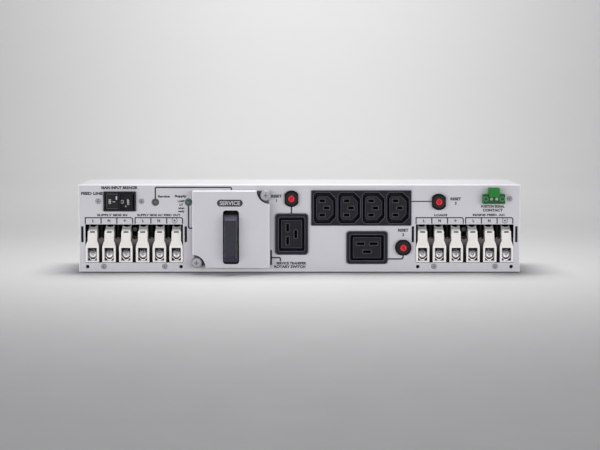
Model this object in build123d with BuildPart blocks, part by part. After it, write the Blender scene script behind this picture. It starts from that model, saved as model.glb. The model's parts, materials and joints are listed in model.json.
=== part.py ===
from build123d import *
import os

# Maintenance bypass and distribution unit for a rack-mounted power supply, 2U high.
# Frame: origin at the centre of the underside, X to the right, Z up, and the
# connection panel looks along -Y. "Proud" is the distance in front of the panel's
# outer face, so anything with a negative proud value lies inside the enclosure.
# All lengths are in millimetres.

# ---------------------------------------------------------------- driving dimensions
chassis_width = 438.0
chassis_height = 86.5
chassis_depth = 100.0
sheet = 1.2
touch = 0.1                      # gap between pieces of the fixed assembly
gap = 0.3                        # gap between pieces that move past each other
inner_face = -sheet              # proud value of the panel's inner face

# terminal blocks, one each side
terminal_centres = (-164.1, 164.1)
modules_per_block = 6
module_pitch = 16.67
window_width, window_height = 97.0, 38.1
window_z = 28.1
module_width, tower_width, cap_width = 13.2, 9.3, 8.5
module_bottom, tower_top, module_top = 9.5, 41.3, 47.0
module_front, module_back = 1.5, -26.0
shoulder_heights = (25.0, 28.3, 30.7)
shoulder_halves = (6.6, 5.75, 4.65)
wire_width, wire_height, wire_z = 9.3, 12.9, 17.45
wire_depth = 18.0
clamp_screw_proud = -15.0
clamp_bore_radius = 3.0
pad_radius, pad_z, pad_proud = 4.3, 17.2, -4.5
test_slot_width, test_slot_height, test_slot_z, test_slot_back = 5.1, 1.4, 39.3, -9.0
centre_screw_z, centre_boss_front, centre_boss_radius, centre_boss_bore = 41.3, -12.0, 2.6, 1.2

# bypass switch, its handle and cover
switch_x, switch_z = -67.4, 34.4
cover_z = 43.3
cover_size = 76.0
cover_proud = 14.0
cover_slot_width, cover_slot_length, cover_slot_z = 15.8, 53.1, 35.4
captive_x, captive_z = 34.2, 33.3
captive_head_radius, captive_shank_radius = 5.25, 2.0
notch_radius = 12.8
handle_base_width, handle_front_width = 13.5, 10.3
handle_bottom, handle_top = 11.0, 57.8
handle_face_bottom, handle_face_top = 17.9, 53.0
handle_back, handle_front = cover_proud + 0.8, 28.0
handle_rim = 1.2                 # straight edge of the bar before its sides slope
stem_radius, stem_back = 6.0, 3.6
shaft_side = 8.0
switch_body_side, switch_plate_side = 50.0, 47.0
switch_screw_reach = 20.0

# input breaker with its rocker
breaker_x, breaker_z = -178.1, 70.1
bezel_width, bezel_height, bezel_proud = 32.1, 19.7, 3.0
rocker_opening_width, rocker_opening_height = 28.8, 16.4
rocker_pivot_proud = 1.0
breaker_screw_reach = 21.5

# outlets
c13_centre_x, c13_centre_z = 61.3, 63.6
c13_block_width, c13_block_height = 99.4, 35.4
c13_pitch, c13_first_x = 24.2, 25.1
c13_proud = 2.2
c19_upright = (-7.7, 37.6)
c19_lying = (67.1, 24.2)
c19_short, c19_long = 32.9, 41.2
c19_proud = 3.0

# push-to-reset breakers: (x, z, width, height) of the body behind the panel
resets = ((-7.9, 72.8, 30.0, 14.0), (138.1, 69.7, 30.0, 14.0), (103.0, 24.2, 14.0, 30.0))
reset_nut_radius, reset_nut_flats = 8.1, 13.7
reset_neck_radius, reset_button_radius = 5.9, 3.8
reset_neck_proud, reset_button_proud = 5.0, 7.5

# lamps and detection connector
lamps = {"bypass_lamp_lens": (-142.8, 69.2), "normal_lamp_lens": (-110.0, 69.2)}
lamp_radius, lamp_stem_radius = 3.5, 2.9
plug_x, plug_z = 192.1, 72.9
plug_pitch = 5.08
plunger_x, plunger_z, plunger_radius = -98.3, 68.5, 1.5

# panel details
tab_slots = (-215.5, -112.6, 112.5, 215.2)
tab_slot_width, tab_slot_height, tab_slot_z = 1.8, 15.3, 37.3
cover_hole_reach, cover_hole_z, cover_hole_radius = 46.45, 5.0, 1.5
base_screw_reach, base_screw_z = 30.35, 5.3
ear_hole_radius, ear_spacing_y, ear_spacing_z, ear_centre_z = 2.0, 50.0, 44.45, 43.25

os.makedirs("parts", exist_ok=True)


# ---------------------------------------------------------------- shared helpers
def face(proud=0.0):
    """Plane parallel to the connection panel, its normal pointing out of the panel."""
    return Plane.XZ.offset(chassis_depth / 2 + proud)


def y_at(proud):
    """Y of a point that lies this far proud of the panel."""
    return -chassis_depth / 2 - proud


def blocks(back, front, spots, width, height, radius=0.0, mode=Mode.ADD):
    """Equal rectangular blocks between two proud values, one centred on each (x, z)."""
    with BuildSketch(face(back)) as outline:
        with Locations(*spots):
            if radius:
                RectangleRounded(width, height, radius)
            else:
                Rectangle(width, height)
    extrude(outline.sketch, amount=front - back, mode=mode)


def rods(back, front, spots, radius, mode=Mode.ADD):
    """Equal round rods square to the panel, one centred on each (x, z)."""
    with BuildSketch(face(back)) as outline:
        with Locations(*spots):
            Circle(radius)
    extrude(outline.sketch, amount=front - back, mode=mode)


def posts(bottom, top, spots, radius, mode=Mode.ADD):
    """Equal upright round posts, one centred on each (x, y)."""
    with BuildSketch(Plane.XY.offset(bottom)) as outline:
        with Locations(*spots):
            Circle(radius)
    extrude(outline.sketch, amount=top - bottom, mode=mode)


def cross_recess(front, spots, span, depth, width=0.9):
    """Cuts a cross-shaped driver recess into the front of screw heads."""
    blocks(front - depth, front, spots, span, width, mode=Mode.SUBTRACT)
    blocks(front - depth, front, spots, width, span, mode=Mode.SUBTRACT)


def write(piece, name):
    """Labels a finished piece and writes its STEP file."""
    piece.label = name
    export_step(piece, f"parts/{name}.step")


def module_positions(centre):
    """X of each terminal module of the block centred here."""
    middle = (modules_per_block - 1) / 2
    return [centre + (number - middle) * module_pitch for number in range(modules_per_block)]


all_modules = [x for centre in terminal_centres for x in module_positions(centre)]
cover_holes = [(c + side * cover_hole_reach, cover_hole_z) for c in terminal_centres for side in (-1, 1)]
base_screws = [(c + side * base_screw_reach, base_screw_z) for c in terminal_centres for side in (-1, 1)]
base_centre_screws = [(centre, centre_screw_z) for centre in terminal_centres]
captive_spots = [(switch_x + side * captive_x, cover_z + side * captive_z) for side in (1, -1)]
switch_screw_spots = [(switch_x + i, switch_z + j) for i in (-switch_screw_reach, switch_screw_reach)
                      for j in (-switch_screw_reach, switch_screw_reach)]
breaker_screws = [(breaker_x + side * breaker_screw_reach, breaker_z) for side in (-1, 1)]
c13_positions = [(c13_first_x + number * c13_pitch, c13_centre_z) for number in range(4)]
reset_spots = [(x, z) for x, z, width, height in resets]
board_screw = (208.5, 72.7)
header_spot = (plug_x, plug_z)


# ---------------------------------------------------------------- enclosure
side_flange_x = chassis_width / 2 - 1.5 * sheet
ear_spots = [(side_y, ear_centre_z + side_z)
             for side_y in (-ear_spacing_y / 2, ear_spacing_y / 2)
             for side_z in (-ear_spacing_z / 2, ear_spacing_z / 2)]
side_screw_spots = [(-14.0, 7.0), (36.0, 7.0)]
rear_screw_xs = (-160.0, 0.0, 160.0)

with BuildPart() as connection_panel:
    blocks(inner_face, 0, [(0, chassis_height / 2)], chassis_width, chassis_height)
    outer_edges = connection_panel.faces().sort_by(Axis.Y)[0].edges()
    fillet(outer_edges, 0.7)
    # return flanges along the bottom and both sides
    blocks(-12, inner_face, [(0, 1.5 * sheet)], 420, sheet)
    for side in (-1, 1):
        blocks(-12, inner_face, [(side * (side_flange_x - touch), 45)], sheet - touch, 70)
    # threaded collars for the terminal covers
    rods(inner_face - 2.3, inner_face, cover_holes, 2.6)
    rods(-10, 0, cover_holes, cover_hole_radius, mode=Mode.SUBTRACT)
    # windows and openings
    blocks(-3, 0, [(c, window_z) for c in terminal_centres], window_width, window_height,
           mode=Mode.SUBTRACT)
    blocks(-3, 0, [(x, tab_slot_z) for x in tab_slots], tab_slot_width, tab_slot_height, 0.6,
           mode=Mode.SUBTRACT)
    blocks(-3, 0, [(c13_centre_x, c13_centre_z)], 97, 33, 1, mode=Mode.SUBTRACT)
    blocks(-3, 0, [c19_upright], 28, 37, 2, mode=Mode.SUBTRACT)
    blocks(-3, 0, [c19_lying], 37, 28, 2, mode=Mode.SUBTRACT)
    blocks(-3, 0, [(breaker_x, breaker_z)], 31, 18.6, mode=Mode.SUBTRACT)
    blocks(-3, 0, [header_spot], 21, 9, 0.5, mode=Mode.SUBTRACT)
    rods(-3, 0, base_screws + breaker_screws + [board_screw], 1.6, mode=Mode.SUBTRACT)
    rods(-3, 0, reset_spots, reset_neck_radius + touch, mode=Mode.SUBTRACT)
    rods(-3, 0, list(lamps.values()), lamp_stem_radius + touch, mode=Mode.SUBTRACT)
    rods(-3, 0, [(switch_x, switch_z)], 7, mode=Mode.SUBTRACT)
    rods(-3, 0, switch_screw_spots, 1.8, mode=Mode.SUBTRACT)
    rods(-3, 0, captive_spots, captive_shank_radius + touch, mode=Mode.SUBTRACT)
    rods(-3, 0, [(plunger_x, plunger_z)], plunger_radius + 0.08, mode=Mode.SUBTRACT)
write(connection_panel.part, "connection_panel")

with BuildPart() as chassis_tray:
    tray_front = y_at(inner_face)
    tray_depth = chassis_depth / 2 - tray_front
    with BuildSketch(Plane.XY):
        with Locations((0, tray_front + tray_depth / 2)):
            Rectangle(chassis_width, tray_depth)
    extrude(amount=sheet)
    # rear wall
    blocks(-chassis_depth, -chassis_depth + sheet, [(0, (chassis_height - sheet) / 2)],
           chassis_width - 2 * sheet - 2 * touch, chassis_height - sheet - 2 * touch)
    # low flanges inside the top cover's sides, behind the panel's own flanges
    for side in (-1, 1):
        blocks(-chassis_depth + sheet, -16, [(side * side_flange_x, 7)], sheet, 14)
    # tapped holes for the side and rear screws
    for side in (-1, 1):
        with BuildSketch(Plane.YZ.offset(side * side_flange_x)):
            with Locations(*side_screw_spots):
                Circle(1.25)
        extrude(amount=3, both=True, mode=Mode.SUBTRACT)
    rods(-chassis_depth, -chassis_depth + 5, [(x, 80) for x in rear_screw_xs], 1.6,
         mode=Mode.SUBTRACT)
write(chassis_tray.part, "chassis_tray")

with BuildPart() as top_cover:
    cover_front = tray_front + touch
    cover_depth = chassis_depth / 2 - cover_front
    with BuildSketch(Plane.XZ.offset(-chassis_depth / 2)):
        with BuildLine():
            Polyline((-chassis_width / 2, sheet), (-chassis_width / 2, chassis_height),
                     (chassis_width / 2, chassis_height), (chassis_width / 2, sheet),
                     (chassis_width / 2 - sheet, sheet),
                     (chassis_width / 2 - sheet, chassis_height - sheet),
                     (-chassis_width / 2 + sheet, chassis_height - sheet),
                     (-chassis_width / 2 + sheet, sheet), close=True)
        make_face()
    extrude(amount=cover_depth)
    top_edges = top_cover.edges().filter_by(Axis.Y).sort_by(Axis.Z)[-2:]
    fillet(top_edges, 1.0)
    # folded lip that the rear wall's screws bite into
    blocks(-chassis_depth + sheet + touch, -chassis_depth + 2 * sheet,
           [(0, 79.5)], 360, 13)
    rods(-chassis_depth, -chassis_depth + 5, [(x, 80) for x in rear_screw_xs], 1.25,
         mode=Mode.SUBTRACT)
    # rack ear holes and countersunk side screw holes
    for side in (-1, 1):
        with BuildSketch(Plane.YZ.offset(side * chassis_width / 2)):
            with Locations(*ear_spots):
                Circle(ear_hole_radius)
            with Locations(*side_screw_spots):
                Circle(2.8)
        extrude(amount=1.15 * sheet, both=True, mode=Mode.SUBTRACT)
write(top_cover.part, "top_cover")

with BuildPart() as enclosure_screws:
    for side in (-1, 1):
        outer = Plane(origin=(side * (chassis_width / 2 - touch), 0, 0), x_dir=(0, 1, 0), z_dir=(side, 0, 0))
        signed_spots = [(y, side * z) for y, z in side_screw_spots]
        with BuildSketch(outer):
            with Locations(*signed_spots):
                Circle(2.7)
        extrude(amount=-(sheet - touch))
        with BuildSketch(outer):
            with Locations(*signed_spots):
                Circle(1.2)
        extrude(amount=-5)
        with BuildSketch(outer):
            with Locations(*signed_spots):
                Rectangle(2.8, 0.6)
                Rectangle(0.6, 2.8)
        extrude(amount=-0.7, mode=Mode.SUBTRACT)
    rear_heads = [(x, 80) for x in rear_screw_xs]
    rods(-chassis_depth - 1.6, -chassis_depth, rear_heads, 2.8)
    rods(-chassis_depth, -chassis_depth + 6, rear_heads, 1.2)
    blocks(-chassis_depth - 1.6, -chassis_depth - 0.8, rear_heads, 3, 0.7, mode=Mode.SUBTRACT)
    blocks(-chassis_depth - 1.6, -chassis_depth - 0.8, rear_heads, 0.7, 3, mode=Mode.SUBTRACT)
write(enclosure_screws.part, "enclosure_screws")

with BuildPart() as ear_clinch_nuts:
    for side in (-1, 1):
        nut_plane = Plane(origin=(side * (chassis_width / 2 - sheet), 0, 0), x_dir=(0, 1, 0),
                          z_dir=(side, 0, 0))
        with BuildSketch(nut_plane):
            with Locations(*[(y, side * z) for y, z in ear_spots]):
                Circle(4)
                Circle(ear_hole_radius, mode=Mode.SUBTRACT)
        extrude(amount=-3)
write(ear_clinch_nuts.part, "ear_clinch_nuts")


# ---------------------------------------------------------------- terminal blocks
def barrier(x):
    """Wall between two modules: it follows their shoulders and leans back towards its top."""
    clearance = 0.13
    heights = (window_z - window_height / 2 - 1, *shoulder_heights, 33.0)
    halves = [module_pitch / 2 - half - clearance for half in (shoulder_halves[0], *shoulder_halves, tower_width / 2)]
    with BuildPart() as wall:
        with BuildSketch(face(module_back - 1)):
            with BuildLine():
                Polyline(*[(x - half, height) for half, height in zip(halves, heights)], (x, heights[-1] - 1.5),
                         *[(x + half, height) for half, height in reversed(list(zip(halves, heights)))], close=True)
            make_face()
        extrude(amount=-module_back)
        with BuildSketch(Plane.YZ.offset(x)):
            with BuildLine():
                Polyline((y_at(module_back - 1), 0), (y_at(-1), 0), (y_at(-1), 17), (y_at(-1.8), 23),
                         (y_at(-3.6), 28.5), (y_at(-7), 33.5), (y_at(module_back - 1), 33.5), close=True)
            make_face()
        extrude(amount=module_pitch, both=True, mode=Mode.INTERSECT)
    return wall.part


def terminal_base(centre):
    """Black housing behind one window: an open tray with barriers between the modules."""
    with BuildPart() as base:
        blocks(module_back - 14, inner_face - touch, [(centre, window_z)], 98.8, 41)
        blocks(module_back, 0, [(centre, window_z)], window_width + 0.1, window_height - 0.1,
               mode=Mode.SUBTRACT)
        positions = module_positions(centre)
        between = [(a + b) / 2 for a, b in zip(positions, positions[1:])]
        for x in between:
            add(barrier(x))
        # thin walls above the barriers, and a boss for the centre screw
        blocks(module_back - 1, -9, [(x, 39) for x in between if x != centre], 2.2, 17)
        boss = [(centre, centre_screw_z)]
        rods(module_back - 1, centre_boss_front, boss, centre_boss_radius)
        rods(centre_boss_front - 10, centre_boss_front, boss, centre_boss_bore, mode=Mode.SUBTRACT)
        # foot that the two fixing screws hold to the panel
        blocks(-6, inner_face - touch, [(centre, base_screw_z)], 76, 5)
        feet = [(centre + side * base_screw_reach, base_screw_z) for side in (-1, 1)]
        rods(-6, 0, feet, 1.5, mode=Mode.SUBTRACT)
    return base.part


def terminal_module(x):
    """White insulator: a wide block with a wire window, below a narrow tower with a sloping cap."""
    shoulder = list(zip(shoulder_halves, shoulder_heights))
    with BuildPart() as module:
        with BuildSketch(face(module_back)) as silhouette:
            with BuildLine():
                Polyline(*[(x - half, z) for half, z in ((shoulder_halves[0], module_bottom), *shoulder)],
                         (x - tower_width / 2, tower_top - 1.4), (x - tower_width / 2 + 1.2, tower_top),
                         (x + tower_width / 2 - 1.2, tower_top), (x + tower_width / 2, tower_top - 1.4),
                         *[(x + half, z) for half, z in (*reversed(shoulder), (shoulder_halves[0], module_bottom))],
                         close=True)
            make_face()
            fillet(silhouette.vertices().group_by(Axis.Y)[0], 0.5)
        extrude(amount=module_front - module_back)
        blocks(module_back, -7, [(x, (tower_top + module_top) / 2 - 1)], cap_width, module_top - tower_top + 2)
        with BuildSketch(Plane.YZ.offset(x)):
            with BuildLine():
                Polyline((y_at(module_back), module_bottom), (y_at(module_front - 0.5), module_bottom),
                         (y_at(module_front), module_bottom + 0.5), (y_at(module_front), 25.2),
                         (y_at(0.9), 27), (y_at(-3.2), tower_top - 0.5), (y_at(-4), tower_top),
                         (y_at(-7), 41.8), (y_at(-9), 42.3), (y_at(-16.5), module_top),
                         (y_at(module_back), module_top), close=True)
            make_face()
        extrude(amount=module_width, both=True, mode=Mode.INTERSECT)
        blocks(module_front - wire_depth, module_front, [(x, wire_z)], wire_width, wire_height,
               mode=Mode.SUBTRACT)
        # screw shaft from the sloping cap down to the pocket, and the test slot
        posts(wire_z, module_top, [(x, y_at(clamp_screw_proud))], clamp_bore_radius, mode=Mode.SUBTRACT)
        blocks(test_slot_back, module_front, [(x, test_slot_z)], test_slot_width, test_slot_height,
               mode=Mode.SUBTRACT)
    return module.part


for side_name, centre in zip(("left", "right"), terminal_centres):
    write(terminal_base(centre), f"terminal_base_{side_name}")
    for number, x in enumerate(module_positions(centre), start=1):
        write(terminal_module(x), f"terminal_{side_name}_{number}")

pocket_floor = wire_z - wire_height / 2
with BuildPart() as terminal_clamps:
    # round clamping pads
    rods(module_front - wire_depth, pad_proud, [(x, pad_z) for x in all_modules], pad_radius)
    # folded saddle plates that span the pocket's lower corners
    plate_half, plate_rise, plate_fold, plate_thickness = wire_width / 2 - 0.05, 3.3, 1.3, 0.9
    with BuildSketch(face(module_front - wire_depth)):
        for x in all_modules:
            low, high = pocket_floor + 0.05, pocket_floor + plate_rise
            top = low + plate_thickness
            with BuildLine():
                Polyline((x - plate_half, high), (x - plate_fold, low), (x + plate_fold, low), (x + plate_half, high),
                         (x + plate_half, high + plate_thickness), (x + plate_fold, top),
                         (x - plate_fold, top), (x - plate_half, high + plate_thickness), close=True)
            make_face()
    extrude(amount=pad_proud + wire_depth - module_front)
    # the saddle stops short of the pad that presses on it
    rods(module_front - wire_depth, module_front, [(x, pad_z) for x in all_modules], pad_radius + touch,
         mode=Mode.SUBTRACT)
    rods(module_front - wire_depth, pad_proud, [(x, pad_z) for x in all_modules], pad_radius)
write(terminal_clamps.part, "terminal_clamps")

screw_shank, screw_head_low, screw_head_high = 1.8, 36.0, 39.0
with BuildPart() as terminal_clamp_screws:
    screw_axes = [(x, y_at(clamp_screw_proud)) for x in all_modules]
    posts(pad_z + pad_radius, screw_head_low, screw_axes, screw_shank)
    posts(screw_head_low, screw_head_high, screw_axes, clamp_bore_radius - 0.2)
    with BuildSketch(Plane.XY.offset(screw_head_high - 1)):
        with Locations(*screw_axes):
            Rectangle(6, 0.8)
    extrude(amount=1, mode=Mode.SUBTRACT)
write(terminal_clamp_screws.part, "terminal_clamp_screws")

with BuildPart() as terminal_base_screws:
    rods(0, 1.4, base_screws, 2.5)
    fillet(terminal_base_screws.faces().sort_by(Axis.Y)[0].edges(), 0.5)
    rods(-6, 0, base_screws, 1.45)
    cross_recess(1.4, base_screws, 2.8, 0.8, 0.7)
    # centre screws, deep between the towers
    centre_head_front = centre_boss_front + 1.2
    rods(centre_boss_front, centre_head_front, base_centre_screws, 2.1)
    rods(centre_boss_front - 9, centre_boss_front, base_centre_screws, centre_boss_bore - 0.05)
    cross_recess(centre_head_front, base_centre_screws, 2.4, 0.8, 0.6)
write(terminal_base_screws.part, "terminal_base_screws")


# ---------------------------------------------------------------- input breaker
with BuildPart() as input_breaker_bezel:
    spot = [(breaker_x, breaker_z)]
    blocks(0, bezel_proud, spot, bezel_width, bezel_height, 0.8)
    blocks(-8, 0, spot, 30.8, 18.4, 0.8)
    blocks(-8, bezel_proud, spot, rocker_opening_width, rocker_opening_height, mode=Mode.SUBTRACT)
    # bearings for the rocker's two stub pins
    with BuildSketch(Plane.XY.offset(breaker_z)):
        with Locations((breaker_x, y_at(rocker_pivot_proud))):
            Circle(1.3)
    extrude(amount=rocker_opening_height / 2 + 0.8, both=True, mode=Mode.SUBTRACT)
write(input_breaker_bezel.part, "input_breaker_bezel")

with BuildPart() as input_rocker:
    # at rest the left half lies parallel to the panel and the right half stands proud
    rocker_half, rise = 13.9, 5.0
    with BuildSketch(Plane.XY.offset(breaker_z)) as rocker_plan:
        with BuildLine():
            Polyline((breaker_x - rocker_half, y_at(0.6)), (breaker_x, y_at(0.6)),
                     (breaker_x + rocker_half - 0.7, y_at(0.6 + rise)),
                     (breaker_x + rocker_half + 0.1, y_at(-1.0)),
                     (breaker_x + 6, y_at(-5.5)), (breaker_x - 6, y_at(-5.5)),
                     (breaker_x - rocker_half + 1.2, y_at(-4.0)), close=True)
        make_face()
        fillet(rocker_plan.vertices().sort_by(Axis.X)[:1] + rocker_plan.vertices().sort_by(Axis.Y)[:1], 0.5)
    extrude(amount=7.9, both=True)
    with BuildSketch(Plane.XY.offset(breaker_z)):
        with Locations((breaker_x, y_at(rocker_pivot_proud))):
            Circle(1.25)
    extrude(amount=rocker_opening_height / 2 + 0.7, both=True)
write(input_rocker.part, "input_rocker")

with BuildPart() as input_breaker_body:
    blocks(-46, -8 - touch, [(breaker_x, breaker_z)], 34, 19, 1)
    blocks(-14, inner_face - touch, [(breaker_x, breaker_z)], 49, 19, 1)
    blocks(-8, 0, [(breaker_x, breaker_z)], 31, 18.6, mode=Mode.SUBTRACT)
    rods(-10, 0, breaker_screws, 1.5, mode=Mode.SUBTRACT)
write(input_breaker_body.part, "input_breaker_body")

with BuildPart() as input_breaker_screws:
    rods(0, 1.3, breaker_screws, 2.3)
    fillet(input_breaker_screws.faces().sort_by(Axis.Y)[0].edges(), 0.5)
    rods(-9, 0, breaker_screws, 1.45)
    cross_recess(1.3, breaker_screws, 2.6, 0.8, 0.7)
write(input_breaker_screws.part, "input_breaker_screws")

with BuildPart() as input_breaker_tabs:
    blocks(-56, -46, [(breaker_x + 11 * side, breaker_z) for side in (-1, 1)], 1.2, 9)
    blocks(-58, -56, [(breaker_x + 11 * side, breaker_z) for side in (-1, 1)], 6, 9)
write(input_breaker_tabs.part, "input_breaker_tabs")


# ---------------------------------------------------------------- lamps
for lens_name, spot in lamps.items():
    with BuildPart() as lens:
        rods(0, 2.2, [spot], lamp_radius)
        fillet(lens.faces().sort_by(Axis.Y)[0].edges(), 1.8)
        rods(-8, 0, [spot], lamp_stem_radius)
    write(lens.part, lens_name)

with BuildPart() as lamp_holders:
    lamp_spots = list(lamps.values())
    rods(-6, inner_face, lamp_spots, 4.6)
    rods(-6, inner_face, lamp_spots, lamp_stem_radius + 0.05, mode=Mode.SUBTRACT)
    rods(-20, -8, lamp_spots, lamp_stem_radius)
write(lamp_holders.part, "lamp_holders")


# ---------------------------------------------------------------- bypass switch
with BuildPart() as bypass_switch_plate:
    blocks(0, 3, [(switch_x, switch_z)], switch_plate_side, switch_plate_side, 3)
    rods(0, 3, [(switch_x, switch_z)], stem_radius + 0.5, mode=Mode.SUBTRACT)
    rods(0, 3, switch_screw_spots, 1.8, mode=Mode.SUBTRACT)
write(bypass_switch_plate.part, "bypass_switch_plate")

with BuildPart() as bypass_switch_screws:
    rods(3, 4.8, switch_screw_spots, 3.2)
    rods(-12, 3, switch_screw_spots, 1.7)
    cross_recess(4.8, switch_screw_spots, 3.6, 1.1)
write(bypass_switch_screws.part, "bypass_switch_screws")

stage_count, stage_depth = 3, 17.0
with BuildPart() as bypass_switch_body:
    # mounting deck, then one moulded stage for each set of contacts
    blocks(-9, inner_face - touch, [(switch_x, switch_z)], switch_body_side, switch_body_side, 3)
    for stage in range(stage_count):
        front = -9 - stage * stage_depth
        blocks(front - stage_depth, front - 1, [(switch_x, switch_z)], 48, 48, 3)
        blocks(front - 1, front, [(switch_x, switch_z)], 45, 45, 3)
    rods(-58, 0, [(switch_x, switch_z)], 6.2, mode=Mode.SUBTRACT)
    for stage in range(stage_count):
        front = -9 - stage * stage_depth
        rods(front - 14, front - 4, [(switch_x, switch_z)], 14, mode=Mode.SUBTRACT)
    rods(-13, 0, switch_screw_spots, 1.7, mode=Mode.SUBTRACT)
write(bypass_switch_body.part, "bypass_switch_body")

with BuildPart() as bypass_switch_shaft:
    blocks(-57, 12, [(switch_x, switch_z)], shaft_side, shaft_side, 0.6)
write(bypass_switch_shaft.part, "bypass_switch_shaft")

with BuildPart() as bypass_switch_cams:
    for stage in range(stage_count):
        front = -9 - stage * stage_depth
        with BuildSketch(face(front - 13.5)):
            with Locations((switch_x, switch_z)):
                Circle(13.5)
                Rectangle(shaft_side + 0.1, shaft_side + 0.1, mode=Mode.SUBTRACT)
            with Locations((switch_x, switch_z + 13.5), (switch_x, switch_z - 13.5)):
                Rectangle(10, 7, mode=Mode.SUBTRACT)
        extrude(amount=9)
write(bypass_switch_cams.part, "bypass_switch_cams")

with BuildPart() as bypass_switch_tabs:
    for stage in range(stage_count):
        middle = -9 - stage * stage_depth - 9
        rows = [(switch_x + side * 27, switch_z + row) for side in (-1, 1) for row in (-14, 14)]
        blocks(middle - 3.5, middle + 3.5, rows, 6, 1.2)
write(bypass_switch_tabs.part, "bypass_switch_tabs")

with BuildPart() as bypass_handle:
    base_half, front_half = handle_base_width / 2, handle_front_width / 2
    with BuildSketch(Plane.XY.offset(handle_bottom)):
        with BuildLine():
            Polyline((switch_x - base_half, y_at(handle_back)), (switch_x + base_half, y_at(handle_back)),
                     (switch_x + base_half, y_at(handle_back + handle_rim)),
                     (switch_x + front_half, y_at(handle_front)),
                     (switch_x - front_half, y_at(handle_front)),
                     (switch_x - base_half, y_at(handle_back + handle_rim)), close=True)
        make_face()
    extrude(amount=handle_top - handle_bottom)
    with BuildSketch(Plane.YZ.offset(switch_x)):
        with BuildLine():
            Polyline((y_at(handle_back), handle_bottom), (y_at(handle_back + handle_rim), handle_bottom),
                     (y_at(handle_front), handle_face_bottom), (y_at(handle_front), handle_face_top),
                     (y_at(handle_back + handle_rim), handle_top), (y_at(handle_back), handle_top), close=True)
        make_face()
    extrude(amount=handle_base_width, both=True, mode=Mode.INTERSECT)
    chamfer(bypass_handle.faces().sort_by(Axis.Y)[0].edges(), 0.3)
    # stem with a square socket for the shaft
    rods(stem_back, handle_back, [(switch_x, switch_z)], stem_radius)
    blocks(stem_back, 12.4, [(switch_x, switch_z)], shaft_side + 0.1, shaft_side + 0.1, mode=Mode.SUBTRACT)
write(bypass_handle.part, "bypass_handle")


# ---------------------------------------------------------------- bypass cover
ear_side = 14.0
with BuildPart() as bypass_cover:
    cover_spot = [(switch_x, cover_z)]
    blocks(gap, cover_proud, cover_spot, cover_size, cover_size)
    fillet(bypass_cover.edges().filter_by(Axis.Y), 1.0)
    fillet(bypass_cover.faces().sort_by(Axis.Y)[0].edges(), 0.9)
    blocks(gap, cover_proud - sheet, cover_spot, cover_size - 2 * sheet, cover_size - 2 * sheet,
           mode=Mode.SUBTRACT)
    corners = [(switch_x + side * cover_size / 2, cover_z + side * cover_size / 2) for side in (-1, 1)]
    rods(gap, cover_proud, corners, notch_radius, mode=Mode.SUBTRACT)
    blocks(cover_proud - 2 * sheet, cover_proud, [(switch_x, cover_slot_z)],
           cover_slot_width, cover_slot_length, 2.8, mode=Mode.SUBTRACT)
    # ears at panel level that the captive screws pass through
    ear_reach = cover_size / 2 - ear_side / 2
    ears = [(switch_x + side * ear_reach, cover_z + side * ear_reach) for side in (-1, 1)]
    blocks(gap, gap + sheet, ears, ear_side, ear_side)
    rods(gap, gap + sheet, captive_spots, captive_shank_radius + touch, mode=Mode.SUBTRACT)
write(bypass_cover.part, "bypass_cover")

with BuildPart() as bypass_cover_screws:
    rods(gap + sheet, cover_proud - 0.2, captive_spots, captive_head_radius)
    fillet(bypass_cover_screws.faces().sort_by(Axis.Y)[0].edges(), 0.8)
    rods(-7, gap + sheet, captive_spots, captive_shank_radius)
    cross_recess(cover_proud - 0.2, captive_spots, 5.4, 1.6, 1.2)
write(bypass_cover_screws.part, "bypass_cover_screws")

with BuildPart() as cover_clinch_nuts:
    rods(-5, inner_face, captive_spots, 4)
    rods(-5, inner_face, captive_spots, captive_shank_radius + touch, mode=Mode.SUBTRACT)
write(cover_clinch_nuts.part, "cover_clinch_nuts")

with BuildPart() as detection_switch:
    blocks(-18, inner_face - touch, [(plunger_x, plunger_z)], 6.2, 20, 0.6)
    rods(-14, 0, [(plunger_x, plunger_z)], plunger_radius + 0.08, mode=Mode.SUBTRACT)
    # solder tabs
    blocks(-22, -18, [(plunger_x, plunger_z + step) for step in (-7, 0, 7)], 0.8, 2.8)
write(detection_switch.part, "detection_switch")

with BuildPart() as detection_plunger:
    rods(-9, cover_proud - sheet - gap, [(plunger_x, plunger_z)], plunger_radius)
    fillet(detection_plunger.faces().sort_by(Axis.Y)[0].edges(), 0.7)
write(detection_plunger.part, "detection_plunger")


# ---------------------------------------------------------------- outlets
def c13_outline(proud, x, z, width, height, slant, corner):
    """Appliance outlet outline: small corners on the left, long slants on the right."""
    with BuildSketch(face(proud)) as drawn:
        with Locations((x, z)):
            Rectangle(width, height)
        chamfer(drawn.vertices().group_by(Axis.X)[-1], slant)
        chamfer(drawn.vertices().group_by(Axis.X)[0], corner)
    return drawn.sketch


def cut_recess(outline, depth, bevel):
    """Cuts a recess inward from the outline's plane, with a bevel round its mouth."""
    extrude(outline, amount=-depth, mode=Mode.SUBTRACT)
    mouth = offset(outline, amount=bevel, kind=Kind.INTERSECTION, mode=Mode.PRIVATE)
    extrude(mouth, amount=-bevel, taper=45, mode=Mode.SUBTRACT)


def raise_island(outline, height, bevel=0.5):
    """Raises an island from the outline's plane, with a bevel round its top."""
    extrude(outline, amount=height - bevel)
    top = Pos(0, -(height - bevel), 0) * outline
    extrude(top, amount=bevel, taper=45)


def c13_pins(x, z):
    """Line, neutral and earth slot centres of one small outlet."""
    return [(x - 2.4, z - 7.05), (x - 2.4, z + 7.05), (x + 1.9, z)]


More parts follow.
